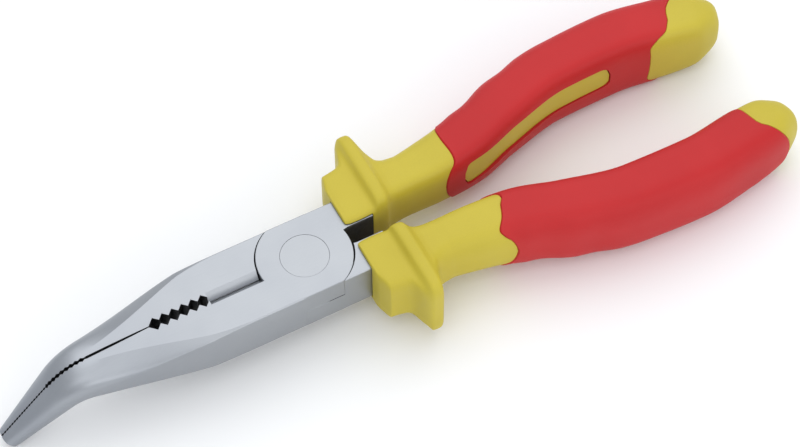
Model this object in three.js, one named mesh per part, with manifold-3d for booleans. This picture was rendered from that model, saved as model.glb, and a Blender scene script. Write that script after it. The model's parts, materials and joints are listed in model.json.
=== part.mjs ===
// Bent-nose insulated pliers: two forged halves in a lap joint, one rivet, and on each handle a
// yellow insulating sleeve with a finger guard and a red grip moulded over it.
//
// Millimetres. The pliers are drawn closed in their own axes: the pivot axis is Z, the nose points
// to -X and the handles to +X, and Y = 0 is the plane where the jaws meet. "left" is -Y and "right"
// is +Y. The finished group is then leaned until it lies on its nose tip and both handle ends, with
// its origin at the bottom centre of its box.
import * as THREE from "three";
import { LoftGeometry } from "three/addons/geometries/LoftGeometry.js";
import { mergeVertices } from "three/addons/utils/BufferGeometryUtils.js";
import Module from "manifold-3d";

const wasm = await Module();
wasm.setup();

const { clamp, degToRad, lerp, smoothstep } = THREE.MathUtils;

// ---- Driving dimensions ------------------------------------------------------------------------

// Lap joint
const JOINT_THICKNESS = 11.6;
const JOINT_HALF_WIDTH = 9.8;
const PLATE_RADIUS = 10.85; // rim of each half-thickness joint plate
const SHOULDER_GAP = 0.3; // from a plate's rim to the other half's shoulder
const PLATE_GAP = 0.3; // between the two joint plates

// Rivet, countersunk and ground flush on both faces
const RIVET_SHANK_RADIUS = 3.8;
const RIVET_HEAD_RADIUS = 5.5;
const RIVET_HEAD_RIM = 0.6; // straight height of the head before it tapers
const RIVET_CLEARANCE = 0.15;

// Nose
const NOSE_LENGTH = 77.9; // along the middle of the nose, from the pivot to the tip
const TAPER_START = 27; // where the jaws start to narrow
const BEND_START = 52.7;
const BEND_RADIUS = 11;
const BEND_ANGLE = 40; // degrees
const TIP_HALF_WIDTH = 2.5; // one jaw, from the parting plane out
const TIP_THICKNESS = 4.4;
const TAPER_POWER = 1.15; // 1 is a straight taper, more keeps the root full
const JAW_EDGE_RADIUS = 0.5; // on the long edges beside the joint
const JAW_GAP = 0.3; // between the closed jaws

// Cutter, between the joint and the pipe grip
const CUTTER_BEVEL_HALF_WIDTH = 1.65;
const CUTTER_BEVEL_DEPTH = 1.8; // from the upper face down to the cutting edges
const CUTTER_RELIEF_HALF_WIDTH = 1.95; // on the lower face

// Pipe grip: a row of large notches
const PIPE_GRIP_START = 23.4;
const PIPE_NOTCH_COUNT = 6;
const PIPE_NOTCH_PITCH = 2.32;
const PIPE_CREST_HALF_GAP = 0.5;

// Fine teeth from here to the tip
const TEETH_START = 51;
const TOOTH_PITCH = 1.3;
const TOOTH_DEPTH = 0.35;

// Finger guard and handle
const GUARD_SETBACK = 0.6; // from the shoulder to the guard's front face
const GUARD_FILLET = 2.85; // from the last guard section to the start of the handle
const HANDLE_LENGTH = 86;
const SECTION_SQUARENESS = 3.2; // 2 is an ellipse, more is squarer
const GRIP_WALL = 1.9;
const GRIP_CLEARANCE = 0.3;

// Steel tang inside each handle
const TANG_INNER_EDGE = 1.2; // from the middle plane, where it leaves the joint
const TANG_GUARD_INNER_EDGE = 4.2; // the same at the guard's front face
const TANG_HALF_WIDTH = 2.9; // inside the handle
const TANG_HALF_THICKNESS = 3.5;
const TANG_REACH = 0.82; // share of the handle that it runs through
const TANG_CLEARANCE = 0.3;

// Guard sections: behind its front face, inner edge and outer edge from the middle plane, and rise
// over the joint's faces.
const GUARD_SECTIONS = [
  [0.0, 2.7, 16.4, 1.1],
  [0.5, 2.2, 17.2, 1.7],
  [4.0, 2.1, 18.6, 2.2],
  [6.0, 2.3, 20.1, 2.4],
  [7.3, 2.4, 23.2, 3.6],
  [8.2, 2.6, 24.8, 4.4],
  [11.2, 2.7, 24.9, 4.5],
  [12.2, 4.0, 21.2, 3.5],
  [13.2, 4.3, 18.4, 2.3],
  [15.0, 4.4, 16.2, 1.9],
];

// Handle sections: share of the handle's length, centre from the middle plane, half width, half
// height.
const HANDLE_SECTIONS = [
  [0.0, 9.8, 5.4, 7.1],
  [0.081, 10.4, 6.1, 7.3],
  [0.197, 12.0, 6.5, 8.2],
  [0.313, 15.4, 6.6, 8.8],
  [0.499, 19.3, 6.7, 9.4],
  [0.684, 19.9, 6.9, 9.5],
  [0.826, 18.3, 6.9, 9.1],
  [0.921, 16.9, 6.5, 8.3],
  [0.974, 15.9, 4.9, 6.6],
  [1.0, 15.2, 2.2, 3.3],
];

// Edges of the red grip in plan, from the inner side of the handle to the outer: behind the start
// of the handle or before its end, and from the middle plane.
const GRIP_FRONT_EDGE = [
  [8, -2],
  [9, 5],
  [11.5, 9],
  [12, 15],
  [14.5, 30],
];
const GRIP_REAR_EDGE = [
  [19, -2],
  [18.5, 12],
  [13, 15],
  [10, 20],
  [6, 34],
];

// Yellow inlay on the inner side of each grip, from the start of the handle
const INLAY_START = 13.5;
const INLAY_END = 54;
const INLAY_HALF_HEIGHT = 3.6;

const STEEL = { color: 0xbfc4ca, roughness: 0.38, metalness: 1 };
const RIVET_STEEL = { color: 0xc4c9ce, roughness: 0.35, metalness: 1 };
const YELLOW_PLASTIC = { color: 0xd0bf45, roughness: 0.5, metalness: 0 };
const RED_GRIP = { color: 0xc93a3e, roughness: 0.6, metalness: 0 };

// ---- Worked-out dimensions ---------------------------------------------------------------------

const TOP = JOINT_THICKNESS / 2;
const SHOULDER_RADIUS = PLATE_RADIUS + SHOULDER_GAP;
const GUARD_FRONT = SHOULDER_RADIUS + GUARD_SETBACK;
const HANDLE_START = GUARD_FRONT + GUARD_SECTIONS.at(-1)[0] + GUARD_FILLET;
const HANDLE_END = HANDLE_START + HANDLE_LENGTH;
const PIPE_GRIP_END = PIPE_GRIP_START + PIPE_NOTCH_COUNT * PIPE_NOTCH_PITCH;
const BEYOND = 40; // past every face, for cutting tools

// ---- Solids ------------------------------------------------------------------------------------

function solid(geometry) {
  const bare = new THREE.BufferGeometry();
  bare.setAttribute("position", geometry.getAttribute("position"));
  bare.setIndex(geometry.getIndex());
  const merged = mergeVertices(bare, 1e-4);
  return new wasm.Manifold(
    new wasm.Mesh({
      numProp: 3,
      vertProperties: merged.getAttribute("position").array,
      triVerts: new Uint32Array(merged.index.array),
    }),
  );
}

function geometryOf(manifold) {
  const { vertProperties, triVerts } = manifold.getMesh();
  const geometry = new THREE.BufferGeometry();
  geometry.setAttribute("position", new THREE.BufferAttribute(vertProperties, 3));
  geometry.setIndex(new THREE.BufferAttribute(triVerts, 1));
  geometry.computeVertexNormals();
  return geometry;
}

function loft(sections) {
  return solid(new LoftGeometry(sections, { capStart: true, capEnd: true }));
}

function disc(radius, bottom, top) {
  const cylinder = new THREE.CylinderGeometry(radius, radius, top - bottom, 48);
  return solid(cylinder.rotateX(Math.PI / 2).translate(0, 0, (bottom + top) / 2));
}

function box([x0, y0, z0], [x1, y1, z1]) {
  const block = new THREE.BoxGeometry(x1 - x0, y1 - y0, z1 - z0);
  return solid(block.translate((x0 + x1) / 2, (y0 + y1) / 2, (z0 + z1) / 2));
}

const unite = (solids) => solids.reduce((all, one) => all.add(one));

// ---- Rivet -------------------------------------------------------------------------------------

// The rivet, or with clearance the hole for it, which runs on past both faces.
function rivet(clearance = 0) {
  const shank = RIVET_SHANK_RADIUS + clearance;
  const head = RIVET_HEAD_RADIUS + clearance;
  const cone = TOP - RIVET_HEAD_RIM;
  const neck = cone - (head - shank);
  const end = clearance > 0 ? BEYOND : TOP;
  const half = [
    [shank, neck],
    [head, cone],
    [head, end],
    [0, end],
  ];
  const mirrored = half.map(([r, z]) => [r, -z]).reverse();
  const profile = [...mirrored, ...half].map(([r, z]) => new THREE.Vector2(r, z));
  return solid(new THREE.LatheGeometry(profile, 48).rotateX(Math.PI / 2));
}

// ---- Jaws --------------------------------------------------------------------------------------

// A place along the middle of the nose: its point, how far it has turned down, and its share of
// the taper.
function noseAt(s) {
  const bend = degToRad(BEND_ANGLE);
  const turned = clamp((s - BEND_START) / BEND_RADIUS, 0, bend);
  const after = Math.max(0, s - BEND_START - bend * BEND_RADIUS);
  const x = Math.min(s, BEND_START) + BEND_RADIUS * Math.sin(turned) + after * Math.cos(bend);
  const z = BEND_RADIUS * (1 - Math.cos(turned)) + after * Math.sin(bend);
  const taper = clamp((s - TAPER_START) / (NOSE_LENGTH - TAPER_START), 0, 1);
  return { x: -x, z: -z, turned, taper };
}

// One jaw's outline there: flat at the parting plane and rounded outside.
function jawSection(s, side) {
  const arcSteps = 5;
  const { x, z, turned, taper } = noseAt(s);
  const run = taper ** TAPER_POWER;
  const inner = JAW_GAP / 2;
  const outer = lerp(JOINT_HALF_WIDTH, TIP_HALF_WIDTH, run);
  const half = lerp(JOINT_THICKNESS, TIP_THICKNESS, run) / 2;
  const fullRadius = 0.96 * Math.min(outer - inner, half);
  const radius = lerp(JAW_EDGE_RADIUS, fullRadius, smoothstep(taper, 0, 0.75));
  const outline = [
    [inner, -half],
    [inner, half],
  ];
  for (const [centre, start] of [
    [half - radius, 90],
    [radius - half, 0],
  ]) {
    for (let i = 0; i <= arcSteps; i++) {
      const angle = degToRad(start - (90 * i) / arcSteps);
      outline.push([outer - radius + radius * Math.cos(angle), centre + radius * Math.sin(angle)]);
    }
  }
  const points = outline.map(([across, up]) => {
    return new THREE.Vector3(x - up * Math.sin(turned), side * across, z + up * Math.cos(turned));
  });
  return side > 0 ? points : points.reverse();
}

function jaw(side) {
  const step = 3;
  const stations = [0];
  for (let s = TAPER_START; s < NOSE_LENGTH - step / 2; s += step) {
    stations.push(s);
  }
  stations.push(NOSE_LENGTH);
  return loft(stations.map((s) => jawSection(s, side)));
}

// A square bar standing on edge in the parting plane, square to the nose.
function notch(s, depth) {
  const { x, z, turned } = noseAt(s);
  const edge = depth * Math.SQRT2;
  const bar = new THREE.BoxGeometry(edge, edge, 2 * JOINT_THICKNESS);
  return solid(bar.rotateZ(Math.PI / 4).rotateY(-turned).translate(x, 0, z));
}

// Both cutting bevels, open to the joint: a shallow one from above and a deep one from below.
function cutterGap() {
  const edge = TOP - CUTTER_BEVEL_DEPTH;
  const land = JAW_GAP / 2;
  const above = land + (CUTTER_BEVEL_HALF_WIDTH - land) * (BEYOND / CUTTER_BEVEL_DEPTH);
  const below = land + (CUTTER_RELIEF_HALF_WIDTH - land) * (BEYOND / (TOP + edge));
  const outline = [
    [-above, edge + BEYOND],
    [-land, edge],
    [-below, edge - BEYOND],
    [below, edge - BEYOND],
    [land, edge],
    [above, edge + BEYOND],
  ];
  const rear = outline.map(([y, z]) => new THREE.Vector3(0, y, z));
  const front = outline.map(([y, z]) => new THREE.Vector3(-PIPE_GRIP_START, y, z));
  return loft([front, rear]);
}

function jawCuts() {
  const half = PIPE_CREST_HALF_GAP;
  const end = PIPE_NOTCH_PITCH / 4;
  const cuts = [cutterGap()];
  cuts.push(box([end - PIPE_GRIP_END, -half, -BEYOND], [-PIPE_GRIP_START - end, half, BEYOND]));
  for (let i = 0; i < PIPE_NOTCH_COUNT; i++) {
    const s = PIPE_GRIP_START + (i + 0.5) * PIPE_NOTCH_PITCH;
    cuts.push(notch(s, PIPE_NOTCH_PITCH / 2 + half));
  }
  for (let s = TEETH_START; s < NOSE_LENGTH - TOOTH_PITCH / 2; s += TOOTH_PITCH) {
    cuts.push(notch(s, TOOTH_DEPTH + JAW_GAP / 2));
  }
  return unite(cuts);
}

// ---- Handles -----------------------------------------------------------------------------------

// Smooth rows between the rows of a table.
function smoothed(rows, steps) {
  const spline = (t, a, b, c, d) => {
    const curve = new THREE.SplineCurve([a, b, c, d].map((v, i) => new THREE.Vector2(i, v)));
    return curve.getPoint((1 + t) / 3).y;
  };
  const made = [];
  for (let i = 0; i < rows.length - 1; i++) {
    const before = rows[Math.max(0, i - 1)];
    const after = rows[Math.min(rows.length - 1, i + 2)];
    for (let k = 0; k < steps; k++) {
      made.push(
        rows[i].map((value, c) => spline(k / steps, before[c], value, rows[i + 1][c], after[c])),
      );
    }
  }
  made.push(rows.at(-1));
  return made;
}

// Sections of the whole handle, each with its centre, its heading and its half sizes.
function handleSections() {
  const guard = GUARD_SECTIONS.map(([behind, inner, outer, rise]) => {
    return [GUARD_FRONT + behind, (inner + outer) / 2, (outer - inner) / 2, TOP + rise];
  });
  const grip = smoothed(HANDLE_SECTIONS, 2).map(([share, y, halfWidth, halfHeight]) => {
    return [HANDLE_START + share * HANDLE_LENGTH, y, halfWidth, halfHeight];
  });
  const rows = [...guard, ...grip];
  return rows.map(([x, y, halfWidth, halfHeight], i) => {
    const before = rows[Math.max(i - 1, guard.length)];
    const after = rows[Math.min(i + 1, rows.length - 1)];
    const heading = i > guard.length ? Math.atan2(after[1] - before[1], after[0] - before[0]) : 0;
    return { x, y, heading, halfWidth, halfHeight };
  });
}

const SECTIONS = handleSections();

// A ring round a section: a rounded rectangle from the superellipse formula.
function handleRing({ x, y, heading, halfWidth, halfHeight }, side, shrink) {
  const count = 20;
  const bulge = (v) => Math.sign(v) * Math.abs(v) ** (2 / SECTION_SQUARENESS);
  const points = [];
  for (let i = 0; i < count; i++) {
    const angle = (2 * Math.PI * i) / count;
    const across = (halfWidth - shrink) * bulge(Math.cos(angle));
    const up = (halfHeight - shrink) * bulge(Math.sin(angle));
    const px = x - across * Math.sin(heading);
    points.push(new THREE.Vector3(px, side * (y + across * Math.cos(heading)), up));
  }
  return side > 0 ? points : points.reverse();
}

function handleBody(side, shrink = 0) {
  const thick = SECTIONS.filter((section) => section.halfWidth > shrink);
  return loft(thick.map((section) => handleRing(section, side, shrink)));
}

function tang(side, clearance = 0) {
  const rows = [
    [1, (TANG_INNER_EDGE + JOINT_HALF_WIDTH) / 2, (JOINT_HALF_WIDTH - TANG_INNER_EDGE) / 2, TOP],
    [
      GUARD_FRONT + 1,
      (TANG_GUARD_INNER_EDGE + JOINT_HALF_WIDTH) / 2,
      (JOINT_HALF_WIDTH - TANG_GUARD_INNER_EDGE) / 2,
      TOP,
    ],
  ];
  const end = HANDLE_START + TANG_REACH * HANDLE_LENGTH;
  for (const { x, y } of SECTIONS) {
    if (x >= HANDLE_START && x <= end) rows.push([x, y, TANG_HALF_WIDTH, TANG_HALF_THICKNESS]);
  }
  rows.at(-1)[0] += clearance;
  const rings = rows.map(([x, y, halfWidth, halfThickness]) => {
    const w = halfWidth + clearance;
    const h = halfThickness + clearance;
    const corners = [
      [-w, -h],
      [w, -h],
      [w, h],
      [-w, h],
    ];
    const points = corners.map(([across, up]) => new THREE.Vector3(x, side * (y + across), up));
    return side > 0 ? points : points.reverse();
  });
  return loft(rings);
}

// The room between the grip's two edges, through the whole handle, less a margin at both ends.
function gripSpan(side, margin) {
  const front = GRIP_FRONT_EDGE.map(([behind, y]) => [HANDLE_START + behind + margin, y]);
  const rear = GRIP_REAR_EDGE.map(([before, y]) => [HANDLE_END - before - margin, y]);
  const outline = [...front, ...rear.reverse()].map(([x, y]) => new THREE.Vector2(x, side * y));
  const span = new THREE.ExtrudeGeometry(new THREE.Shape(outline), {
    depth: 2 * BEYOND,
    bevelEnabled: false,
  });
  return solid(span.translate(0, 0, -BEYOND));
}

// A bar that reaches from the middle plane to the middle of the handle.
function inlayBar(side, margin) {
  const stretch = SECTIONS.filter(({ x }) => {
    return x > HANDLE_START + INLAY_START && x < HANDLE_START + INLAY_END;
  });
  const h = INLAY_HALF_HEIGHT + margin;
  const rings = stretch.map(({ x, y }, i) => {
    const end = i === stretch.length - 1 ? margin : 0;
    const along = i === 0 ? x - margin : x + end;
    const corners = [
      [0, -h],
      [y, -h],
      [y, h],
      [0, h],
    ];
    const points = corners.map(([across, up]) => new THREE.Vector3(along, side * across, up));
    return side > 0 ? points : points.reverse();
  });
  return loft(rings);
}

// ---- Pieces ------------------------------------------------------------------------------------

// One forged half. "up" is 1 for the half whose joint plate is the upper one, with its jaw on the
// left and its handle on the right. The other half is the same, turned over about X, except that
// both noses bend down.
function forging(up) {
  const mid = (up * PLATE_GAP) / 2;
  const layer = up > 0 ? [mid, TOP] : [-TOP, mid];
  const others = up > 0 ? [-BEYOND, mid] : [mid, BEYOND];
  const width = JOINT_HALF_WIDTH;
  const strip = box([-BEYOND, -width, -TOP], [BEYOND, width, TOP]);
  const plate = disc(PLATE_RADIUS, ...layer).intersect(strip);
  // The plate joins this half's own jaw and tang; the other half's plate turns in the shoulder.
  const bars = jaw(-up).subtract(jawCuts()).add(tang(up));
  return bars
    .subtract(disc(SHOULDER_RADIUS, ...others))
    .add(plate)
    .subtract(rivet(RIVET_CLEARANCE));
}

function sleeve(side) {
  const outside = handleBody(side);
  const waisted = outside.subtract(gripSpan(side, 0)).add(handleBody(side, GRIP_WALL));
  const inlay = outside.intersect(inlayBar(side, 0));
  return waisted.add(inlay).subtract(tang(side, TANG_CLEARANCE));
}

function grip(side) {
  const room = handleBody(side, GRIP_WALL - GRIP_CLEARANCE).add(inlayBar(side, GRIP_CLEARANCE));
  return handleBody(side).intersect(gripSpan(side, GRIP_CLEARANCE)).subtract(room);
}

// ---- Assembly ----------------------------------------------------------------------------------

const tool = new THREE.Group();

function addPiece(name, manifold, finish) {
  const mesh = new THREE.Mesh(geometryOf(manifold), new THREE.MeshStandardMaterial(finish));
  mesh.name = name;
  tool.add(mesh);
}

addPiece("left_jaw_forging", forging(1), STEEL);
addPiece("right_jaw_forging", forging(-1), STEEL);
addPiece("pivot_rivet", rivet(), RIVET_STEEL);
for (const [name, side] of [
  ["left", -1],
  ["right", 1],
]) {
  addPiece(`${name}_handle_sleeve`, sleeve(side), YELLOW_PLASTIC);
  addPiece(`${name}_handle_grip`, grip(side), RED_GRIP);
}

// Lowest height of the nose less that of the handles, at a lean about Y.
function levelDifference(lean) {
  const turn = new THREE.Matrix4().makeRotationY(lean);
  const point = new THREE.Vector3();
  const lowest = { nose: Infinity, handles: Infinity };
  for (const { geometry } of tool.children) {
    const position = geometry.getAttribute("position");
    for (let i = 0; i < position.count; i++) {
      point.fromBufferAttribute(position, i);
      const end = point.x < 0 ? "nose" : "handles";
      lowest[end] = Math.min(lowest[end], point.applyMatrix4(turn).z);
    }
  }
  return lowest.nose - lowest.handles;
}

// The difference grows with the lean, so halving an interval finds the lean that levels it.
function levelLean() {
  let [low, high] = [0, degToRad(20)];
  for (let i = 0; i < 30; i++) {
    const middle = (low + high) / 2;
    if (levelDifference(middle) < 0) low = middle;
    else high = middle;
  }
  return (low + high) / 2;
}

tool.rotation.y = levelLean();
const pliers = new THREE.Group();
pliers.add(tool);
const bounds = new THREE.Box3().setFromObject(pliers, true);
const centre = bounds.getCenter(new THREE.Vector3());
tool.position.set(-centre.x, -centre.y, -bounds.min.z);

export default pliers;
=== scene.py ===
"""Bent-nose insulated pliers: satin steel halves on a flush rivet, with a yellow insulating sleeve
and a red grip on each handle.

The pieces are drawn in millimetres in the tool's own axes: the pivot axis is Z, the nose points to
-X, the handles point to +X, and Y = 0 is the plane where the jaws meet. "left" is -Y, "right" is
+Y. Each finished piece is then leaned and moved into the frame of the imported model.
"""

import json
import math

import bmesh
import bpy
from mathutils import Matrix, Vector


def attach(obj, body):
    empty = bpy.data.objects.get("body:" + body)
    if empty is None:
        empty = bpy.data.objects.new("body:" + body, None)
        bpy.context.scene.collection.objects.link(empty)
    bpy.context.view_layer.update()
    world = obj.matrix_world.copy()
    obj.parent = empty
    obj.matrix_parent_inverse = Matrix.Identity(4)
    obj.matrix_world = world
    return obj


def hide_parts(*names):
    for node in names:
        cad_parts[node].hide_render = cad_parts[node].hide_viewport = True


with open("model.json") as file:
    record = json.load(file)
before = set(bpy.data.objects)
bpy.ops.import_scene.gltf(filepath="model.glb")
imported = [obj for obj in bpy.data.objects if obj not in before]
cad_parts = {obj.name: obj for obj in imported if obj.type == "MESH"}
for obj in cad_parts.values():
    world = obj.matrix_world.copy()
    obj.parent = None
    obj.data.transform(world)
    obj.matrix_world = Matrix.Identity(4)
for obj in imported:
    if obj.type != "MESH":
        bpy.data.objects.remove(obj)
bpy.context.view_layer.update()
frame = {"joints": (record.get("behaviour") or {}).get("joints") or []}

# ---- From tool axes in millimetres to the frame in metres ----------------------------------------

PIVOT = frame["joints"][0]
LEAN = math.atan2(-PIVOT["axis"][0], -PIVOT["axis"][2])
TO_FRAME = (
    Matrix.Translation(PIVOT["pos_m"]) @ Matrix.Rotation(LEAN, 4, "Y") @ Matrix.Scale(0.001, 4)
)

# ---- Sizes ---------------------------------------------------------------------------------------

# Lap joint
TOP = 5.8  # upper face, from mid-thickness
JOINT_HALF_WIDTH = 9.8
PLATE_RADIUS = 10.87
SHOULDER_RADIUS = 11.2
SHOULDER_NARROWING = 0.967  # the shoulder's width over its length
PLATE_GAP = 0.06
EDGE_ROUND = 0.3
PLATE_RIM_BEVEL = 0.16

# Rivet
RIVET_SHANK_RADIUS = 3.8
RIVET_HEAD_RADIUS = 5.5
RIVET_RING_GAP = 0.025
RIVET_HEAD_RIM = 0.6  # straight height of the head before it tapers
RIVET_SINK = 0.02
RIVET_EDGE = 0.06

# Nose
NOSE_LENGTH = 77.9
TAPER_START = 27.0
TAPER_POWER = 1.15
BEND_START = 52.7
BEND_RADIUS = 11
BEND_ANGLE = math.radians(40)
TIP_HALF_WIDTH = 2.5
TIP_HALF_THICKNESS = 2.2
JAW_INNER = 0.05
CUTTER_GAP = 0.15

# Ground facets over the outer edges: where they start and are full, how much of a jaw's width and
# height they take, and how flat they are before the bend
FACET_START = 17.0
FACET_FULL = 61
FACET_ACROSS = 0.86
FACET_DOWN = 0.98
FACET_FLATNESS = 0.8
FLAT_FACET_END = 38
ROUND_FACET_START = 60

# Rounding of the lower outer edges, as a share of the smaller of width and height
UNDER_ROUND = 0.9
UNDER_ROUND_FULL = 66

# Jaw details
CUTTER_EDGE_DEPTH = 1.7
CUTTER_BEVEL = 1.65
CUTTER_RELIEF = 1.95
PIPE_GRIP_START = 23.4
PIPE_NOTCHES = 6
PIPE_PITCH = 2.32
PIPE_CREST = 0.5
TEETH_START = 53.0
TOOTH_PITCH = 0.92
COARSE_TEETH = 9
COARSE_CREST = 0.2  # from the middle plane, like the next three
COARSE_ROOT = 0.56
FINE_CREST = 0.07
FINE_ROOT = 0.27
PARTING_GAP = [(36.9, 0.12), (41.0, 0.22), (46.0, 0.3), (TEETH_START - 0.5, 0.33)]

# Tang
TANG_CROTCH = 2.05  # inner face from the middle plane, between the guards
TANG_STEP = 3.6  # the same inside the guard
TANG_CROTCH_END = 18.0
TANG_HALF_WIDTH = 2.9
TANG_HALF_THICKNESS = 3.5
TANG_EDGE = 0.22
TANG_ROOM = 0.25  # clearance in the sleeve

# Guard and handle
GUARD_FRONT = 11.4
HANDLE_START = 29.6
HANDLE_LENGTH = 86.0
HANDLE_END = HANDLE_START + HANDLE_LENGTH
GRIP_WALL = 1.9
GRIP_PROUD = 0.22  # of the yellow beside it
GRIP_LINING = 0.15  # between the red layer's hidden side and the yellow waist

# Guard and neck: station, inner edge and outer edge from the middle plane, height over
# mid-thickness
GUARD = [
    (11.4, 2.9, 13.3, 6.5),
    (11.6, 2.55, 13.8, 6.85),
    (12.45, 2.25, 16.5, 7.0),
    (12.6, 2.2, 16.75, 7.03),
    (12.8, 2.2, 16.85, 7.05),
    (14.5, 2.15, 17.1, 7.1),
    (16.4, 2.2, 17.5, 7.15),
    (17.4, 2.25, 18.4, 7.2),
    (18.2, 2.3, 20.9, 7.22),
    (18.9, 2.4, 22.7, 7.5),
    (19.4, 2.5, 23.3, 8.3),
    (19.8, 2.55, 23.5, 8.95),
    (20.6, 2.6, 23.5, 9.22),
    (21.7, 2.7, 23.4, 9.25),
    (22.3, 2.9, 23.0, 9.0),
    (22.9, 3.5, 21.2, 8.35),
    (23.7, 4.05, 18.4, 7.6),
    (25.3, 4.35, 15.8, 7.08),
    (29.6, 4.4, 15.2, 7.0),
]

# Handle: station, centre from the middle plane, half width, half height
HANDLE = [
    (29.6, 9.8, 5.4, 7.1),
    (36.6, 10.4, 6.1, 7.3),
    (46.5, 12.0, 6.5, 8.2),
    (56.5, 15.4, 6.6, 8.8),
    (72.5, 19.3, 6.7, 9.4),
    (88.4, 19.9, 6.9, 9.5),
    (100.6, 18.3, 6.9, 9.1),
    (108.8, 16.9, 6.5, 8.3),
    (113.4, 15.9, 4.9, 6.6),
    (114.9, 15.45, 3.6, 5.0),
    (115.6, 15.2, 1.5, 2.2),
]

# How square the sections are: exponents of the superellipse
GUARD_SQUARE = 7.5
OUTER_SQUARE = 3.1
INNER_SQUARE = 4.5
END_OUTER_SQUARE = 2.3
END_INNER_SQUARE = 2.5

# Shallow finger waves on the red grip's outer side
WAVE_HEIGHT = 0.3
WAVE_START = 43.6
WAVE_PITCH = 11.5

# Where the red starts and ends on each handle: angle round the handle in degrees (0 outer side,
# 90 top, 180 inner side), station
GRIP_FRONT = {
    1: [
        (0, 43.6), (30, 42.4), (60, 41.0), (90, 40.3),
        (125, 39.7), (138, 39.2), (153, 38.2), (180, 37.0),
    ],
    -1: [
        (0, 44.9), (24, 43.4), (38, 42.0), (57, 41.0), (86, 42.5),
        (105, 43.9), (128, 43.2), (150, 40.6), (180, 38.2),
    ],
}
GRIP_REAR = {
    1: [
        (0, 107.2), (45, 106.2), (74, 104.2), (101, 101.6),
        (116, 100.7), (138, 98.3), (163, 96.6), (180, 96.9),
    ],
    -1: [
        (0, 110.6), (13, 110.1), (45, 108.5), (77, 106.6),
        (94, 104.7), (124, 104.2), (150, 101.2), (180, 100.1),
    ],
}

# Yellow panel on the inner side of each grip
PANEL_START = 42.9
PANEL_END = 85.2
PANEL_SINK = 0.25
PANEL_UP = (4.5, 5.1)  # upper edge over mid-thickness, front and rear
PANEL_DOWN = (3.5, 1.9)  # lower edge under it
PANEL_FRONT_ROUND = 1.8
PANEL_REAR_ROUND = 3.0
PANEL_END_SHARE = 0.35  # of the height that is left at the very ends
PANEL_ROWS = 60

RING = 96  # points round a handle


# ---- Curves --------------------------------------------------------------------------------------


def clamp(value, low=0.0, high=1.0):
    return max(low, min(high, value))


def mix(a, b, share):
    return a + (b - a) * share


def ease(value, start, end):
    share = clamp((value - start) / (end - start))
    return share * share * (3 - 2 * share)


def follow(table, at):
    """The row of a table at a position, on smooth curves that don't overshoot the rows."""
    i = 0
    while i < len(table) - 2 and at > table[i + 1][0]:
        i += 1
    here, there = table[i], table[i + 1]
    span = there[0] - here[0]
    t = clamp((at - here[0]) / span)
    values = []
    for column in range(1, len(here)):

        def slope(k):
            if k <= 0 or k >= len(table) - 1:
                return (there[column] - here[column]) / span
            before = (table[k][column] - table[k - 1][column]) / (table[k][0] - table[k - 1][0])
            after = (table[k + 1][column] - table[k][column]) / (table[k + 1][0] - table[k][0])
            return 2 * before * after / (before + after) if before * after > 0 else 0.0

        a, b = here[column], there[column]
        m, n = slope(i) * span, slope(i + 1) * span
        values.append(
            a * (2 * t**3 - 3 * t**2 + 1)
            + m * (t**3 - 2 * t**2 + t)
            + b * (3 * t**2 - 2 * t**3)
            + n * (t**3 - t**2)
        )
    return values


# ---- Mesh helpers --------------------------------------------------------------------------------


def skin(bm, rows, columns, place, closed=False):
    """A grid whose points go where place(row, column) says, wrapped round into a tube. The ends are
    filled, or joined to each other."""
    before = set(bm.verts)
    bmesh.ops.create_grid(bm, x_segments=rows, y_segments=columns, size=0.5)
    made = [v for v in bm.verts if v not in before]
    for v in made:
        row = round((v.co.x + 0.5) * rows)
        column = round((v.co.y + 0.5) * columns)
        v.co = place(row % rows if closed else row, column % columns)
    bmesh.ops.remove_doubles(bm, verts=made, dist=1e-5)
    if not closed:
        open_edges = [e for e in bm.edges if e.is_boundary]
        bmesh.ops.holes_fill(bm, edges=open_edges, sides=0)
    bmesh.ops.recalc_face_normals(bm, faces=bm.faces)


def drum(bm, radius, bottom, top, segments=128, narrow=1.0):
    """A closed cylinder on the pivot axis, narrowed across if need be."""
    bmesh.ops.create_cone(
        bm,
        cap_ends=True,
        segments=segments,
        radius1=radius,
        radius2=radius,
        depth=top - bottom,
        matrix=Matrix.Translation((0, 0, (top + bottom) / 2)) @ Matrix.Diagonal((1, narrow, 1, 1)),
    )


def piece(name, shape, material):
    """A mesh object from a function that fills a bmesh, still in tool axes."""
    bm = bmesh.new()
    shape(bm)
    mesh = bpy.data.meshes.new(name)
    bm.to_mesh(mesh)
    bm.free()
    mesh.materials.append(material)
    made = bpy.data.objects.new(name, mesh)
    bpy.context.scene.collection.objects.link(made)
    return made


def cut(body, shape, operation="DIFFERENCE", finish=None):
    """Takes a shape away from a body, or joins it on. The new faces get their own finish, or the
    body's."""
    tool = piece("cutting tool", shape, finish or body.data.materials[0])
    boolean = body.modifiers.new("boolean", "BOOLEAN")
    boolean.operation = operation
    boolean.solver = "EXACT"
    boolean.material_mode = "TRANSFER"
    boolean.object = tool
    depsgraph = bpy.context.evaluated_depsgraph_get()
    result = bpy.data.meshes.new_from_object(body.evaluated_get(depsgraph))
    body.modifiers.clear()
    old, body.data = body.data, result
    result.name = body.name
    bpy.data.meshes.remove(old)
    used = tool.data
    bpy.data.objects.remove(tool)
    bpy.data.meshes.remove(used)


def finish_piece(made, body, replaced, sharp=32):
    made.data.transform(TO_FRAME)
    made.data.shade_smooth()
    made.data.set_sharp_from_angle(angle=math.radians(sharp))
    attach(made, body)
    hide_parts(*replaced)
    return made


# ---- Jaws ----------------------------------------------------------------------------------------


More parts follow.
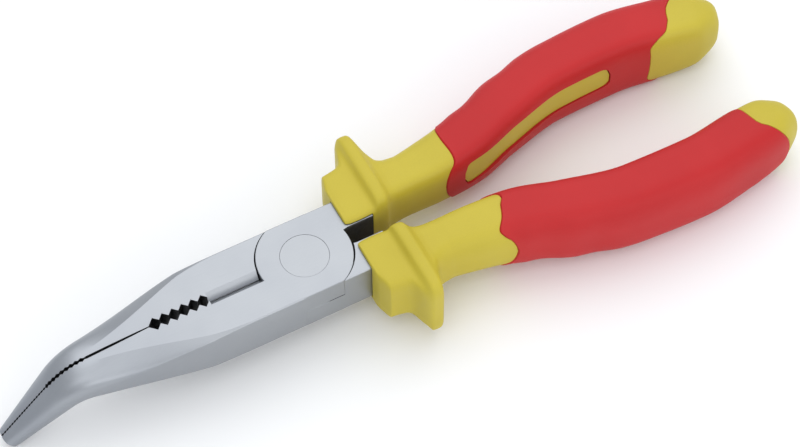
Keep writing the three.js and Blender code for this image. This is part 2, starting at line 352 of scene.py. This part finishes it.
def nose_at(s):
    """A place along the middle of the nose: its point, how far it has turned, its taper share."""
    turned = clamp((s - BEND_START) / BEND_RADIUS, 0, BEND_ANGLE)
    after = max(0.0, s - BEND_START - BEND_ANGLE * BEND_RADIUS)
    x = min(s, BEND_START) + BEND_RADIUS * math.sin(turned) + after * math.cos(BEND_ANGLE)
    z = BEND_RADIUS * (1 - math.cos(turned)) + after * math.sin(BEND_ANGLE)
    return -x, -z, turned, clamp((s - TAPER_START) / (NOSE_LENGTH - TAPER_START))


def corner(start, middle, end, steps):
    """Points from start to end, rounded towards middle."""
    points = []
    for i in range(1, steps):
        t = i / steps
        points.append(
            tuple(
                start[k] * (1 - t) ** 2 + 2 * middle[k] * t * (1 - t) + end[k] * t * t
                for k in (0, 1)
            )
        )
    return points


def jaw_outline(s):
    """One jaw across the nose: flat inside, with a ground facet over its outer edges that grows
    towards the nose until the section is half round."""
    taper = nose_at(s)[3]
    run = taper**TAPER_POWER
    outer = mix(JOINT_HALF_WIDTH, TIP_HALF_WIDTH, run)
    half = mix(TOP, TIP_HALF_THICKNESS, run)
    grown = ease(s, FACET_START, FACET_FULL)
    across = mix(EDGE_ROUND, FACET_ACROSS * (outer - JAW_INNER), grown)
    down = mix(EDGE_ROUND, FACET_DOWN * half, grown**1.2)
    rounded = ease(s, FACET_START, UNDER_ROUND_FULL)
    under = mix(EDGE_ROUND, UNDER_ROUND * min(outer - JAW_INNER, half), rounded)
    flatness = FACET_FLATNESS * (1 - ease(s, FLAT_FACET_END, ROUND_FACET_START))
    a = (outer - across, half)
    b = (outer, half - down)
    c = (outer, -half + under)
    d = (outer - under, -half)
    points = [(JAW_INNER, -half), (JAW_INNER, -half / 3), (JAW_INNER, half / 3), (JAW_INNER, half)]
    points += [(mix(JAW_INNER, a[0], t), half) for t in (0.35, 0.7)]
    points += [a] + corner(a, (outer, half - flatness * down), b, 12) + [b]
    points += [(outer, mix(b[1], c[1], t)) for t in (0.33, 0.67)]
    points += [c] + corner(c, (outer, -half), d, 9) + [d]
    points += [(mix(d[0], JAW_INNER, t), -half) for t in (0.3, 0.65)]
    return points


def jaw(side):
    stations = [0.0, 8.0, 16.0, FACET_START]
    while stations[-1] < NOSE_LENGTH - 0.5:
        stations.append(stations[-1] + 0.8)
    stations[-1] = NOSE_LENGTH
    outlines = [jaw_outline(s) for s in stations]

    def place(row, column):
        x, z, turned, _ = nose_at(stations[row])
        across, up = outlines[row][column]
        return Vector((x - up * math.sin(turned), side * across, z + up * math.cos(turned)))

    return lambda bm: skin(bm, len(stations) - 1, len(outlines[0]), place)


def zigzag_bar(bm, points):
    """A bar through the parting plane whose half width goes from point to point along the nose."""
    reach = 9

    def place(row, column):
        s, depth = points[row]
        x, z, turned, _ = nose_at(s)
        across = (-depth, depth, depth, -depth)[column]
        up = (-reach, -reach, reach, reach)[column]
        return Vector((x - up * math.sin(turned), across, z + up * math.cos(turned)))

    skin(bm, len(points) - 1, 4, place)


def pipe_notches(bm):
    points = []
    for i in range(PIPE_NOTCHES):
        start = PIPE_GRIP_START + i * PIPE_PITCH
        points += [(start, PIPE_CREST), (start + PIPE_PITCH / 2, PIPE_PITCH / 2 + PIPE_CREST)]
    end = PIPE_GRIP_START + PIPE_NOTCHES * PIPE_PITCH
    zigzag_bar(bm, points + [(end, PIPE_CREST), (end + PIPE_CREST, 0.02)])


def nose_teeth(bm):
    """The parting gap widens behind the teeth. The first teeth are coarse, the rest fine."""
    points = list(PARTING_GAP)
    s = TEETH_START
    for _ in range(COARSE_TEETH):
        points += [(s, COARSE_CREST), (s + TOOTH_PITCH / 2, COARSE_ROOT)]
        s += TOOTH_PITCH
    while s < NOSE_LENGTH + 0.5:
        points += [(s, FINE_CREST), (s + TOOTH_PITCH / 2, FINE_ROOT)]
        s += TOOTH_PITCH
    zigzag_bar(bm, points)


def cutter_channel(bm):
    """Both cutting bevels, open to the joint: a shallow one above and a deep one below."""
    edge = TOP - CUTTER_EDGE_DEPTH
    reach = 20
    above = CUTTER_GAP + (CUTTER_BEVEL - CUTTER_GAP) * reach / CUTTER_EDGE_DEPTH
    below = CUTTER_GAP + (CUTTER_RELIEF - CUTTER_GAP) * reach / (TOP + edge)
    outline = [
        (-above, edge + reach),
        (-CUTTER_GAP, edge),
        (-below, edge - reach),
        (below, edge - reach),
        (CUTTER_GAP, edge),
        (above, edge + reach),
    ]

    def place(row, column):
        y, z = outline[column]
        return Vector((-PIPE_GRIP_START if row == 0 else 0.0, y, z))

    skin(bm, 1, len(outline), place)


# ---- Joint ---------------------------------------------------------------------------------------


def joint_plate(bottom, top):
    """Half the joint's thickness: a disc cut flat on both sides, with its edges just broken."""

    def shape(bm):
        drum(bm, PLATE_RADIUS, bottom, top)
        for side in (-1, 1):
            cutting = bmesh.ops.bisect_plane(
                bm,
                geom=bm.verts[:] + bm.edges[:] + bm.faces[:],
                plane_co=(0, side * JOINT_HALF_WIDTH, 0),
                plane_no=(0, side, 0),
                clear_outer=True,
            )
            edges = [g for g in cutting["geom_cut"] if isinstance(g, bmesh.types.BMEdge)]
            bmesh.ops.contextual_create(bm, geom=edges)
        bmesh.ops.recalc_face_normals(bm, faces=bm.faces)
        rim = [e for e in bm.edges if e.is_manifold and e.calc_face_angle() > 0.6]
        bmesh.ops.bevel(
            bm, geom=rim, offset=PLATE_RIM_BEVEL, offset_type="OFFSET", segments=2, profile=0.5,
            affect="EDGES", material=-1, clamp_overlap=True,
        )

    return shape


def rivet_profile(clearance, end):
    cone = TOP - RIVET_HEAD_RIM
    shank, head = RIVET_SHANK_RADIUS + clearance, RIVET_HEAD_RADIUS + clearance
    half = [(shank, cone - (head - shank)), (head, cone), (head, end)]
    return [(r, -z) for r, z in reversed(half)] + half


def turned_solid(profile, segments=128):
    """A closed solid of revolution about the pivot axis, by spinning a profile."""

    def shape(bm):
        points = [(0, profile[0][1])] + profile + [(0, profile[-1][1])]
        verts = [bm.verts.new((r, 0, z)) for r, z in points]
        edges = [bm.edges.new(pair) for pair in zip(verts, verts[1:])]
        bmesh.ops.spin(
            bm, geom=verts + edges, cent=(0, 0, 0), axis=(0, 0, 1), angle=2 * math.pi,
            steps=segments, use_merge=True,
        )
        bmesh.ops.remove_doubles(bm, verts=bm.verts, dist=1e-5)
        bmesh.ops.recalc_face_normals(bm, faces=bm.faces)

    return shape


def shoulder_room(bottom, top):
    return lambda bm: drum(bm, SHOULDER_RADIUS, bottom, top, narrow=SHOULDER_NARROWING)


def tang_bar(side):
    """The steel from the joint into the handle."""
    rows = [
        (1.0, 1.2, JOINT_HALF_WIDTH, TOP),
        (9.0, 1.5, JOINT_HALF_WIDTH, TOP),
        (GUARD_FRONT + 0.3, TANG_CROTCH, JOINT_HALF_WIDTH, TOP),
        (TANG_CROTCH_END, TANG_CROTCH, JOINT_HALF_WIDTH, TOP),
        (TANG_CROTCH_END + 0.6, TANG_STEP, JOINT_HALF_WIDTH, TOP - 0.3),
        (HANDLE_START, 6.9, 12.7, TANG_HALF_THICKNESS),
    ]
    for station in (36.6, 46.5, 56.5, 72.5, 88.5, 99.6):
        centre = follow(HANDLE, station)[0]
        inner, outer = centre - TANG_HALF_WIDTH, centre + TANG_HALF_WIDTH
        rows.append((station, inner, outer, TANG_HALF_THICKNESS))
    r = TANG_EDGE

    def place(row, column):
        x, inner, outer, half = rows[row]
        outline = [
            (inner, -half + r), (inner, half - r), (inner + r, half), (outer - r, half),
            (outer, half - r), (outer, -half + r), (outer - r, -half), (inner + r, -half),
        ]
        across, up = outline[column]
        return Vector((x, side * across, up))

    return lambda bm: skin(bm, len(rows) - 1, 8, place)


def forging(name, up):
    """One forged half. "up" is 1 for the half whose plate is the upper one, with its jaw on the
    left and its tang on the right."""
    mid = up * PLATE_GAP / 2
    body = piece(name, jaw(-up), STEEL)
    cut(body, tang_bar(up), "UNION")
    cut(body, cutter_channel)
    layer = (-20, mid) if up > 0 else (mid, 20)
    # the gap to the other half's plate closes up towards the sides
    # the shoulder faces in the lap joint get the near-black material: scale with painted shade in
    # the gap
    cut(body, shoulder_room(*layer), finish=SCALE_AND_SHADE)
    cut(body, joint_plate(*((mid, TOP) if up > 0 else (-TOP, mid))), "UNION")
    # the notch and tooth faces get darkened steel: painted shade in the closed gap
    cut(body, pipe_notches, finish=GRIP_STEEL_PAINTED_SHADE)
    cut(body, nose_teeth, finish=GRIP_STEEL_PAINTED_SHADE)
    cut(body, turned_solid(rivet_profile(RIVET_RING_GAP, 20)))
    # the crotch between the guards is painted near-black: scale with painted shade
    paint_crotch_scale_and_shade(body, up)
    return body


def paint_crotch_scale_and_shade(body, side):
    """The tang's inner face and its edges, between the guards, get the near-black material: oxide
    scale with painted shade.
    """
    scale = body.data.materials.find(SCALE_AND_SHADE.name)
    for face in body.data.polygons:
        x, y, _ = face.center
        reach = TANG_STEP + 0.2 if x > GUARD_FRONT - 0.4 else TANG_CROTCH + 0.15
        if x > 8.5 and side * y < reach:
            face.material_index = scale


def rivet(bm):
    """Flush on both faces, with a fine broken edge."""
    end = TOP - RIVET_SINK
    profile = rivet_profile(0, end)
    broken = [(RIVET_HEAD_RADIUS - RIVET_EDGE, -end), (RIVET_HEAD_RADIUS, -end + RIVET_EDGE)]
    profile = broken + profile[1:-1] + [(r, -z) for r, z in reversed(broken)]
    turned_solid(profile)(bm)


# ---- Handles -------------------------------------------------------------------------------------


def section_at(station):
    """Centre, half width and half height of the handle, and how square it is inside and outside."""
    if station < HANDLE_START:
        inner, outer, half_height = follow(GUARD, station)
        centre, half_width = (inner + outer) / 2, (outer - inner) / 2
    else:
        centre, half_width, half_height = follow(HANDLE, station)
    square = ease(station, 21.5, 27)
    blunt = ease(station, HANDLE_END - 9, HANDLE_END - 1)
    outside = mix(mix(GUARD_SQUARE, OUTER_SQUARE, square), END_OUTER_SQUARE, blunt)
    inside = mix(mix(GUARD_SQUARE, INNER_SQUARE, square), END_INNER_SQUARE, blunt)
    return centre, half_width, half_height, outside, inside


def heading_at(station):
    if station <= HANDLE_START + 1:
        return 0.0
    ahead, behind = min(station + 1.5, HANDLE_END), max(station - 1.5, HANDLE_START)
    rise = follow(HANDLE, ahead)[0] - follow(HANDLE, behind)[0]
    return math.atan2(rise, ahead - behind) * ease(station, HANDLE_START + 1, HANDLE_START + 8)


def handle_point(station, angle, out=0.0):
    """A point of a handle's skin on the +Y side, moved outwards by out."""
    centre, half_width, half_height, outside, inside = section_at(station)
    c, s = math.cos(angle), math.sin(angle)
    power = 2 / (outside if c > 0 else inside)
    flat = 2 / mix(outside, inside, 0.5)
    across = math.copysign(abs(c) ** power, c) * max(half_width + out, 0.05)
    upright = power if abs(c) > 1e-9 else flat
    up = math.copysign(abs(s) ** upright, s) * max(half_height + out, 0.05)
    heading = heading_at(station)
    return Vector((station - across * math.sin(heading), centre + across * math.cos(heading), up))


def round_handle(table, angle):
    """The station of an edge at an angle round the handle, the same above and below."""
    turned = abs(math.degrees(math.atan2(math.sin(angle), math.cos(angle))))
    return follow(table, turned)[0]


def on_side(side, point):
    return Vector((point.x, side * point.y, point.z))


def ring_angle(column):
    return 2 * math.pi * column / RING


def finger_swell(station, angle):
    """Shallow finger waves on the outer side of the red grip."""
    outer = clamp(math.cos(angle)) ** 1.5
    wave = math.sin((station - WAVE_START) * 2 * math.pi / WAVE_PITCH)
    fade = ease(station, 42.6, 48.6) * (1 - ease(station, 60.6, 70.6))
    return WAVE_HEIGHT * outer * wave * fade


def sleeve_stations():
    """Rows along the sleeve: a guard station or a share of the way along a stretch, and how far
    out of the skin."""
    rows = []
    for here, there in zip(GUARD, GUARD[1:-1]):
        steps = math.ceil((there[0] - here[0]) / 0.4)
        rows += [("guard", mix(here[0], there[0], i / steps), 0) for i in range(steps)]
    for i in range(31):
        rows.append(("neck", i / 30, -GRIP_PROUD / 2 * ease(i, 0, 15)))
    rows += [("waist", 0.004, -0.5), ("waist", 0.012, -GRIP_WALL - 0.1)]
    for i in range(1, 60):
        rows.append(("waist", 0.012 + 0.976 * i / 60, -GRIP_WALL - 0.1))
    rows += [("waist", 0.988, -GRIP_WALL - 0.1), ("waist", 0.996, -0.5)]
    for i in range(25):
        rows.append(("cap", i / 24, -GRIP_PROUD / 2))
    return rows


def sleeve_skin(side):
    rows = sleeve_stations()

    def place(row, column):
        where, share, out = rows[row]
        angle = ring_angle(column)
        front = round_handle(GRIP_FRONT[side], angle)
        rear = round_handle(GRIP_REAR[side], angle)
        if where == "guard":
            station = share
        elif where == "neck":
            station = mix(GUARD[-2][0], front, share)
        elif where == "waist":
            station = mix(front, rear, share)
        else:
            station = mix(rear, HANDLE_END, 1 - (1 - share) ** 1.6)
        return on_side(side, handle_point(station, angle, out))

    return lambda bm: skin(bm, len(rows) - 1, RING, place)


def round_end(share):
    """The height of a quarter circle at a share of its run."""
    return math.sqrt(max(0.0, 1 - (1 - share) ** 2))


def panel_block(margin, floor, skin_depth):
    """The panel on the inner side: a bar that follows the handle, rounded in side view."""

    def shape_for(side):
        length = PANEL_END - PANEL_START

        def place(row, column):
            share = row / PANEL_ROWS
            station = mix(PANEL_START - margin, PANEL_END + margin, share)
            front = clamp((station - PANEL_START + margin) / PANEL_FRONT_ROUND)
            rear = clamp((PANEL_END + margin - station) / PANEL_REAR_ROUND)
            height = mix(PANEL_END_SHARE, 1, round_end(front) * round_end(rear))
            along = (station - PANEL_START) / length
            up = max((mix(*PANEL_UP, along) + margin) * height, 0.3)
            down = max((mix(*PANEL_DOWN, along) + margin) * height, 0.3)
            centre, half_width, _, _, _ = section_at(station)
            face = centre - half_width - skin_depth
            deep = centre - half_width + floor
            corners = [(face, -down), (face, up), (deep, up), (deep, -down)]
            across, level = corners[column]
            return Vector((station, side * across, level))

        return lambda bm: skin(bm, PANEL_ROWS, 4, place)

    return shape_for


def grip_skin(side):
    """The red grip: an outer skin, a rounded lip at each end and a hidden inner skin."""
    lip = [(-1.1, 0.002), (-0.45, 0.0), (0.0, 0.0004), (0.7, 0.0022), (1.0, 0.006)]
    deep, proud = -GRIP_WALL + 0.25, GRIP_PROUD / 2
    rows = [(share, mix(deep, proud, (rise + 1.1) / 2.1)) for rise, share in lip]
    rows[0] = (0.006, -GRIP_WALL + GRIP_LINING)
    steps = 90
    outer = [(mix(0.012, 0.988, i / steps), GRIP_PROUD / 2) for i in range(steps + 1)]
    inner = [(mix(0.98, 0.02, i / 40), -GRIP_WALL + GRIP_LINING) for i in range(41)]
    rows = rows + outer + [(1 - share, out) for share, out in reversed(rows)] + inner

    def place(row, column):
        share, out = rows[row]
        angle = ring_angle(column)
        station = mix(
            round_handle(GRIP_FRONT[side], angle), round_handle(GRIP_REAR[side], angle), share
        )
        if out > 0:
            out += finger_swell(station, angle)
        return on_side(side, handle_point(station, angle, out))

    return lambda bm: skin(bm, len(rows), RING, place, closed=True)


def handle(label, side):
    sleeve = piece(f"{label}_insulating_sleeve", sleeve_skin(side), YELLOW)
    cut(sleeve, panel_block(-0.12, 4.0, -PANEL_SINK)(side), "UNION")
    cut(sleeve, tang_room(side))
    grip = piece(f"{label}_soft_grip", grip_skin(side), RED)
    cut(grip, panel_block(0.1, 3.2, 3.0)(side))
    return sleeve, grip


def tang_room(side):
    """The room for the tang, a little bigger all round."""

    def shape(bm):
        tang_bar(side)(bm)
        for v in bm.verts:
            centre = side * (follow(HANDLE, max(v.co.x, HANDLE_START))[0] if v.co.x > 20 else 7.0)
            v.co.y += math.copysign(TANG_ROOM, v.co.y - centre)
            v.co.z += math.copysign(TANG_ROOM, v.co.z)
            if v.co.x > 100:
                v.co.x += TANG_ROOM

    return shape


# ---- Materials -----------------------------------------------------------------------------------


class Surface:
    """A Principled material whose patterns read Object coordinates."""

    def __init__(self, name):
        self.material = bpy.data.materials.new(name)
        self.material.use_nodes = True
        self.nodes = self.material.node_tree.nodes
        self.links = self.material.node_tree.links
        self.shader = self.nodes["Principled BSDF"]
        self.place = self.nodes.new("ShaderNodeTexCoord").outputs["Object"]

    def node(self, kind, **settings):
        made = self.nodes.new("ShaderNode" + kind)
        for key, value in settings.items():
            if hasattr(made, key):
                setattr(made, key, value)
            else:
                made.inputs[key.replace("_", " ")].default_value = value
        return made

    def stretched(self, scale):
        mapping = self.node("Mapping")
        mapping.inputs["Scale"].default_value = scale
        self.links.new(self.place, mapping.inputs["Vector"])
        return mapping.outputs["Vector"]

    def noise(self, scale, detail=4.0, roughness=0.55, vector=None):
        made = self.node("TexNoise", Scale=scale, Detail=detail, Roughness=roughness)
        self.links.new(vector or self.place, made.inputs["Vector"])
        return made.outputs["Fac"]

    def ramp(self, factor, stops):
        made = self.node("ValToRGB")
        elements = made.color_ramp.elements
        while len(elements) < len(stops):
            elements.new(0.5)
        for element, (at, colour) in zip(elements, stops):
            element.position = at
            element.color = (*colour, 1) if len(colour) == 3 else colour
        self.links.new(factor, made.inputs["Fac"])
        return made.outputs["Color"]

    def range(self, factor, low, high, start=0.0, end=1.0):
        made = self.node("MapRange")
        made.inputs["From Min"].default_value = start
        made.inputs["From Max"].default_value = end
        made.inputs["To Min"].default_value = low
        made.inputs["To Max"].default_value = high
        self.links.new(factor, made.inputs["Value"])
        return made.outputs["Result"]

    def blend(self, kind, share, a, b):
        made = self.node("Mix", data_type="RGBA", blend_type=kind)
        if isinstance(share, float):
            made.inputs["Factor"].default_value = share
        else:
            self.links.new(share, made.inputs["Factor"])
        self.links.new(a, made.inputs["A"])
        self.links.new(b, made.inputs["B"])
        return made.outputs["Result"]

    def bump(self, heights):
        normal = None
        for height, strength, distance in heights:
            made = self.node("Bump")
            made.inputs["Strength"].default_value = strength
            made.inputs["Distance"].default_value = distance
            self.links.new(height, made.inputs["Height"])
            if normal:
                self.links.new(normal, made.inputs["Normal"])
            normal = made.outputs["Normal"]
        self.links.new(normal, self.shader.inputs["Normal"])


def satin_steel(name, light, dark, tip):
    """Ground and satin chromed steel: fine lengthwise grain, faint clouding, darker and bluer
    towards the nose tip.
    """
    steel = Surface(name)
    grain = steel.noise(1.0, 6, 0.6, steel.stretched((260, 5200, 5200)))
    cloud = steel.noise(70, 3, 0.5)
    tone = steel.ramp(cloud, [(0.3, dark), (0.7, light)])
    streaks = steel.ramp(grain, [(0.3, (0.93, 0.93, 0.93)), (0.7, (1, 1, 1))])
    colour = steel.blend("MULTIPLY", 1.0, tone, streaks)
    along = steel.node("SeparateXYZ")
    steel.links.new(steel.place, along.inputs["Vector"])
    # colour multiplied darker and bluer towards the nose tip
    tip_tint = steel.ramp(
        steel.range(along.outputs["X"], 0, 1, -0.098, -0.05), [(0, tip), (1, (1, 1, 1))]
    )
    colour = steel.blend("MULTIPLY", 1.0, colour, tip_tint)
    steel.links.new(colour, steel.shader.inputs["Base Color"])
    steel.shader.inputs["Metallic"].default_value = 1.0
    steel.links.new(steel.range(grain, 0.34, 0.46, 0.25, 0.75), steel.shader.inputs["Roughness"])
    pits = steel.noise(2600, 2, 0.5)
    steel.bump([(grain, 0.06, 0.00004), (pits, 0.05, 0.00003)])
    return steel.material


def moulded_plastic(name, light, dark, rough, texture):
    """Moulded handle plastic: fine matt texture, faint flow clouding and a soft gloss."""
    plastic = Surface(name)
    cloud = plastic.noise(45, 3, 0.55)
    tone = plastic.ramp(cloud, [(0.32, dark), (0.68, light)])
    fine = plastic.noise(3400, 3, 0.6)
    speck = plastic.ramp(fine, [(0.3, (0.95, 0.95, 0.95)), (0.7, (1, 1, 1))])
    plastic.links.new(
        plastic.blend("MULTIPLY", 1.0, tone, speck), plastic.shader.inputs["Base Color"]
    )
    plastic.shader.inputs["Specular IOR Level"].default_value = 0.31
    plastic.links.new(
        plastic.range(fine, rough - 0.04, rough + 0.06, 0.3, 0.7),
        plastic.shader.inputs["Roughness"],
    )
    waves = plastic.noise(160, 2, 0.5)
    plastic.bump([(waves, 0.12, 0.0003), (fine, texture, 0.00006)])
    return plastic.material


def dark_scale_and_shade(name):
    """Near-black steel in the lap joint and between the guards: partly oxide scale left where no
    wheel reaches, partly painted shade for the deep shadow that falls there.
    """
    scale = Surface(name)
    tone = scale.ramp(
        scale.noise(900, 4), [(0.3, (0.020, 0.018, 0.017)), (0.7, (0.045, 0.042, 0.040))]
    )
    scale.links.new(tone, scale.shader.inputs["Base Color"])
    scale.shader.inputs["Metallic"].default_value = 0.4
    scale.shader.inputs["Roughness"].default_value = 0.62
    scale.bump([(scale.noise(2200, 3), 0.3, 0.00005)])
    return scale.material


STEEL = satin_steel("satin steel", (0.41, 0.426, 0.448), (0.378, 0.394, 0.42), (0.88, 0.895, 0.93))
RIVET = satin_steel("rivet steel", (0.41, 0.426, 0.446), (0.39, 0.405, 0.428), (1, 1, 1))
# darkened steel on the teeth and notches: painted shade for the shadow in the closed parting gap
GRIP_STEEL_PAINTED_SHADE = satin_steel(
    "gripping face steel with painted shade", (0.17, 0.172, 0.178), (0.13, 0.132, 0.136), (1, 1, 1)
)
# near-black: oxide scale with painted shade for the shadowed crotch and lap joint
SCALE_AND_SHADE = dark_scale_and_shade("dark scale and painted shade")
YELLOW = moulded_plastic("yellow insulation", (0.575, 0.47, 0.047), (0.53, 0.43, 0.040), 0.48, 0.22)
RED = moulded_plastic("red soft grip", (0.53, 0.017, 0.019), (0.485, 0.014, 0.016), 0.52, 0.35)


# ---- Pieces --------------------------------------------------------------------------------------

steel_pieces = [
    ("upper_plate_half", 1, "left_jaw_half", "left_jaw_forging"),
    ("lower_plate_half", -1, "right_jaw_half", "right_jaw_forging"),
]
for name, up, body, node in steel_pieces:
    finish_piece(forging(name, up), body, [node], sharp=14)

finish_piece(piece("flush_rivet", rivet, RIVET), "left_jaw_half", ["pivot_rivet"])

for label, side, body in (("left", -1, "right_jaw_half"), ("right", 1, "left_jaw_half")):
    sleeve, grip = handle(label, side)
    finish_piece(sleeve, body, [f"{label}_handle_sleeve"])
    finish_piece(grip, body, [f"{label}_handle_grip"])


# ---- Floor, light and camera ---------------------------------------------------------------------


def pale_floor():
    surface = Surface("pale floor")
    surface.shader.inputs["Roughness"].default_value = 0.9
    tone = surface.ramp(surface.noise(3, 2), [(0.3, (0.93, 0.93, 0.93)), (0.7, (0.95, 0.95, 0.95))])
    surface.links.new(tone, surface.shader.inputs["Base Color"])
    just_under = Matrix.Translation((0, 0, -0.00015))
    grid = {"x_segments": 4, "y_segments": 4, "size": 2.5, "matrix": just_under}
    piece("floor", lambda bm: bmesh.ops.create_grid(bm, **grid), surface.material)


def softbox(name, place, target, size, power):
    light = bpy.data.lights.new(name, "AREA")
    light.shape = "RECTANGLE"
    light.size, light.size_y = size
    light.energy = power
    made = bpy.data.objects.new(name, light)
    bpy.context.scene.collection.objects.link(made)
    made.location = place
    made.rotation_euler = (Vector(target) - Vector(place)).to_track_quat("-Z", "Y").to_euler()


def studio():
    world = bpy.data.worlds.new("studio")
    bpy.context.scene.world = world
    world.use_nodes = True
    background = world.node_tree.nodes["Background"]
    background.inputs["Color"].default_value = (0.93, 0.96, 1.0, 1)
    background.inputs["Strength"].default_value = 0.72
    softbox("overhead softbox", (0.32, 0.62, 1.15), (-0.02, 0, 0), (1.7, 1.5), 8.8)
    softbox("camera softbox", (-0.25, -0.5, 1.35), (0, 0, 0), (1.3, 0.9), 3.2)
    softbox("front softbox", (0.25, -1.35, 0.72), (0, 0, 0), (1.6, 0.9), 5.4)
    bpy.context.scene.view_settings.view_transform = "Standard"


VIEW_AZIMUTH = -27.362
VIEW_ELEVATION = 57.340
VIEW_ROLL = -0.598
VIEW_DISTANCE = 600.0
VIEW_LENS = 121.0275
VIEW_TARGET = (24.04, 0.87)


def view_camera():
    """The view is set from the tool's own axes, at the middle of its length."""
    azimuth, elevation = math.radians(VIEW_AZIMUTH), math.radians(VIEW_ELEVATION)
    forward = Vector(
        (
            -math.sin(azimuth) * math.cos(elevation),
            math.cos(azimuth) * math.cos(elevation),
            -math.sin(elevation),
        )
    )
    right = Vector((math.cos(azimuth), math.sin(azimuth), 0))
    up = right.cross(forward)
    roll = math.radians(VIEW_ROLL)
    right, up = (
        math.cos(roll) * right + math.sin(roll) * up,
        math.cos(roll) * up - math.sin(roll) * right,
    )
    eye = Vector((*VIEW_TARGET, 0)) - forward * VIEW_DISTANCE
    turn = Matrix((right, up, -forward)).transposed().to_4x4()
    lean = Matrix.Rotation(LEAN, 4, "Y")
    camera = bpy.data.cameras.new("camera")
    camera.lens = VIEW_LENS
    camera.clip_start = 0.01
    made = bpy.data.objects.new("camera", camera)
    bpy.context.scene.collection.objects.link(made)
    made.matrix_world = Matrix.Translation(TO_FRAME @ eye) @ lean @ turn
    bpy.context.scene.camera = made


pale_floor()
studio()
view_camera()
